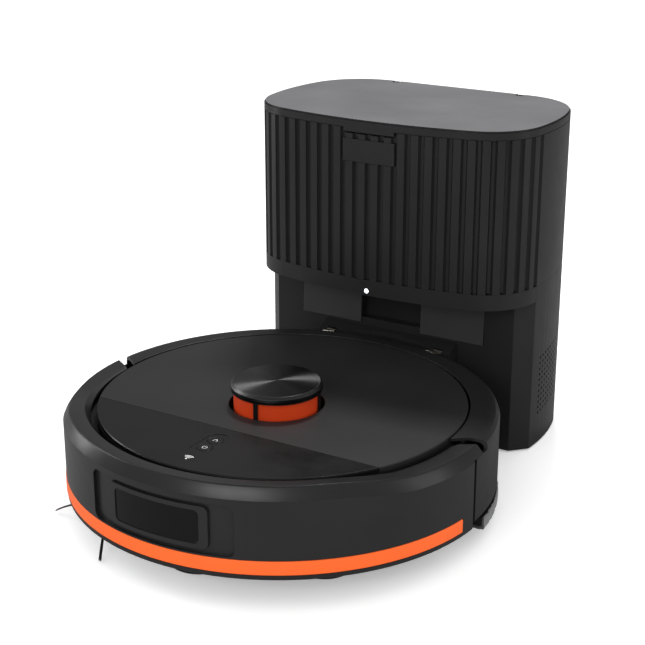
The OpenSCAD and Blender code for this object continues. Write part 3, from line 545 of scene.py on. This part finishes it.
def add_bristles():
    """Side brush: its hub from the CAD, and each tuft as a bundle of separate bent bristles."""
    skin = bpy.data.objects["side_brush_skin"]
    cx, cy, _ = centre_of("side_brush_motor")
    bm = bmesh.new()
    bm.from_mesh(skin.data)
    far = [f for f in bm.faces if math.hypot(f.calc_center_median().x - cx,
                                             f.calc_center_median().y - cy) > HUB_RADIUS * MM]
    bmesh.ops.delete(bm, geom=far, context="FACES")
    bm.to_mesh(skin.data)
    bm.free()

    bm = bmesh.new()
    for tuft, bearing in enumerate(TUFT_BEARINGS):
        turn = math.radians(bearing)
        for k in range(BRISTLES):
            rings = []
            for x, wide, height, thick in bristle_centres(tuft, k):
                ring = []
                for q in range(BRISTLE_SIDES):
                    a = 2 * math.pi * q / BRISTLE_SIDES
                    y = wide + thick * math.cos(a)
                    ring.append(bm.verts.new(
                        (cx + (x * math.cos(turn) - y * math.sin(turn)) * MM,
                         cy + (x * math.sin(turn) + y * math.cos(turn)) * MM,
                         (height + thick * math.sin(a)) * MM)))
                rings.append(ring)
            for a, b in zip(rings, rings[1:]):
                for q in range(BRISTLE_SIDES):
                    r = (q + 1) % BRISTLE_SIDES
                    bm.faces.new((a[q], a[r], b[r], b[q]))
            bm.faces.new(rings[0])
            bm.faces.new(rings[-1])
    bmesh.ops.recalc_face_normals(bm, faces=bm.faces)
    obj = add_piece("side_brush_bristles", mesh_of(bm, "side_brush_bristles"), "sweeper",
                    "bristles", "side_brush")
    smooth_by_angle(obj, 60)


def node_copy(node, name, voxel):
    """Even quad mesh of a CAD solid, as the start of a soft piece."""
    mesh = NODES[node].data.copy()
    mesh.materials.clear()
    obj = add_piece(name, mesh, BODY_OF[node], SLOT_OF[node], node)
    remesh = obj.modifiers.new("even", "REMESH")
    remesh.mode = "VOXEL"
    remesh.voxel_size = voxel * MM
    apply_modifiers(obj)
    if not obj.data.materials:
        obj.data.materials.append(MATS[SLOT_OF[node]])
    return obj


def add_mop_pad():
    """Microfibre pad: softened edges, looped pile and sewn channels across it."""
    channel_pitch, channel_depth, pile = 9.0, 0.35, 0.3
    obj = node_copy("mop_pad", "mop_pad_cloth", 1.7)
    soften = obj.modifiers.new("soften", "SMOOTH")
    soften.factor = 0.5
    soften.iterations = 4
    apply_modifiers(obj)
    mesh = obj.data
    normals = [v.normal.copy() for v in mesh.vertices]
    for i, (v, normal) in enumerate(zip(mesh.vertices, normals)):
        channel = math.cos(v.co.x / MM / channel_pitch * 2 * math.pi) ** 8 * channel_depth
        v.co += normal * MM * (pile * (repeatable(i, 3) - 0.5) - channel)
    smooth_all(mesh)


def add_dust_bag():
    """Fleece bag, blown up by cloth simulation, with its cardboard collar."""
    collar, shrink, cap, last_frame = 9 * MM, 6, 5.0 * MM, 15
    obj = node_copy("dust_bag", "dust_bag_cloth", 6.0)
    mesh = obj.data
    normals = [v.normal.copy() for v in mesh.vertices]
    low_z = min(v.co.z for v in mesh.vertices) + collar
    for v, normal in zip(mesh.vertices, normals):
        if v.co.z > low_z:
            v.co -= normal * shrink * MM
    start = [v.co.copy() for v in mesh.vertices]
    pins = obj.vertex_groups.new(name="mouth")
    pins.add([v.index for v in mesh.vertices if v.co.z <= low_z], 1.0, "REPLACE")
    cloth = obj.modifiers.new("bag", "CLOTH")
    cloth.settings.vertex_group_mass = "mouth"
    cloth.settings.use_pressure = True
    cloth.settings.uniform_pressure_force = 4.0
    cloth.settings.effector_weights.gravity = 0.0
    for frame_number in range(1, last_frame + 1):
        bpy.context.scene.frame_set(frame_number)
    apply_modifiers(obj)
    bpy.context.scene.frame_set(1)
    for v, home in zip(obj.data.vertices, start):
        move = v.co - home
        if move.length > cap:
            v.co = home + move * (cap / move.length)
    for v in obj.data.vertices:
        v.co += (Vector((0, 0, 1)) * MM * 0.5 * math.sin(v.co.x / MM * 0.11)
                 * math.sin(v.co.y / MM * 0.15))
    subdivide = obj.modifiers.new("smooth", "SUBSURF")
    subdivide.levels = subdivide.render_levels = 1
    apply_modifiers(obj)
    smooth_all(obj.data)


# ---------- camera, floor and light ----------

# Camera of the photo's view, solved at a body width of 350 mm
CAMERA_PLACE = (0.593843, -0.927658, 0.551874)
CAMERA_PITCH = 19.813  # degrees below level
CAMERA_AZIMUTH = 30.99  # degrees from the front towards +X
LENS = 83.04
SENSOR_WIDTH = 36.0


def add_camera():
    data = bpy.data.cameras.new("camera")
    data.lens = LENS
    data.sensor_width = SENSOR_WIDTH
    data.clip_end = 20.0
    cam = bpy.data.objects.new("camera", data)
    link_to_scene(cam)
    cam.location = CAMERA_PLACE
    cam.rotation_euler = (math.radians(90 - CAMERA_PITCH), 0.0, math.radians(CAMERA_AZIMUTH))
    bpy.context.scene.camera = cam


def add_light(name, place, target, size, power):
    data = bpy.data.lights.new(name, "AREA")
    data.shape = "RECTANGLE"
    data.size, data.size_y = size
    data.energy = power
    lamp = bpy.data.objects.new(name, data)
    link_to_scene(lamp)
    lamp.location = place
    lamp.rotation_euler = (Vector(target) - Vector(place)).to_track_quat("-Z", "Y").to_euler()


def add_floor():
    """Pale paper. Glossy surfaces see it dimmed, and its shadows are lifted for the camera."""
    half, dimmed, lift = 6, 0.26, 0.3
    mesh = bpy.data.meshes.new("floor")
    corners = [(-half, -half, 0), (half, -half, 0), (half, half, 0), (-half, half, 0)]
    mesh.from_pydata(corners, [], [(0, 1, 2, 3)])
    floor = bpy.data.objects.new("floor", mesh)
    link_to_scene(floor)
    b = Build("floor_paper", Roughness=0.9, Emission_Color=(1.0, 1.0, 1.0, 1.0))
    paper = b.ramp(b.noise(3.0), [(0.0, (0.93, 0.93, 0.93)), (1.0, (0.95, 0.95, 0.95))])
    rays = b.node("LightPath")
    mix = b.node("Mix", data_type="RGBA")
    b.link(rays.outputs["Is Glossy Ray"], mix.inputs[0])
    b.link(paper, mix.inputs[6])
    mix.inputs[7].default_value = (dimmed, dimmed, dimmed, 1.0)
    b.set("Base Color", mix.outputs[2])
    b.set("Emission Strength", b.range(rays.outputs["Is Camera Ray"], 0.0, lift))
    floor.data.materials.append(b.mat)


def add_world():
    """White surroundings, dimmer where a glossy surface mirrors them."""
    world = bpy.data.worlds.new("studio")
    world.use_nodes = True
    tree = world.node_tree
    path = tree.nodes.new("ShaderNodeLightPath")
    dim = tree.nodes.new("ShaderNodeMapRange")
    dim.inputs["To Min"].default_value = 1.0
    dim.inputs["To Max"].default_value = 0.22
    tree.links.new(path.outputs["Is Glossy Ray"], dim.inputs["Value"])
    sky = tree.nodes["Background"]
    sky.inputs["Color"].default_value = (1, 1, 1, 1)
    tree.links.new(dim.outputs["Result"], sky.inputs["Strength"])
    bpy.context.scene.world = world
    bpy.context.scene.view_settings.view_transform = "Standard"


# Name, place, target and size in metres, power in watts
LIGHTS = (
    ("top", (-0.35, 1.0, 1.7), (0, 0.0, 0.1), (0.35, 0.3), 12),
    ("left", (-1.4, -0.2, 0.55), (0, 0.1, 0.1), (0.22, 1.0), 5),
    ("front", (0.3, -2.0, 1.1), (0, 0.0, 0.12), (1.2, 0.6), 13),
    ("right", (1.5, 0.45, 0.45), (0, 0.0, 0.05), (0.16, 0.7), 1.8),
)

add_camera()
dress_nodes()
for node, width in EDGES.items():
    refine(node, width, EDGE_ANGLES.get(node, EDGE_ANGLE), SKIN_SLOTS.get(node, SLOT_OF[node]))
# Painted shade: the drum gets a darker copy of the orange, for the shadow it stands in under the
# cap.
refinish("lidar_drum_skin", moulded("orange_painted_shade", (0.55, 0.045, 0.008), 0.42, 1500.0,
                                    0.12, 0.05, Specular_IOR_Level=0.2))
add_prints()
add_lens()
add_lid_plate()
# Painted shade: a dark sheet deepens the channel between the face panels.
add_bay_shade_sheet()
add_bristles()
add_mop_pad()
add_dust_bag()
add_floor()
add_world()
for light in LIGHTS:
    add_light(*light)
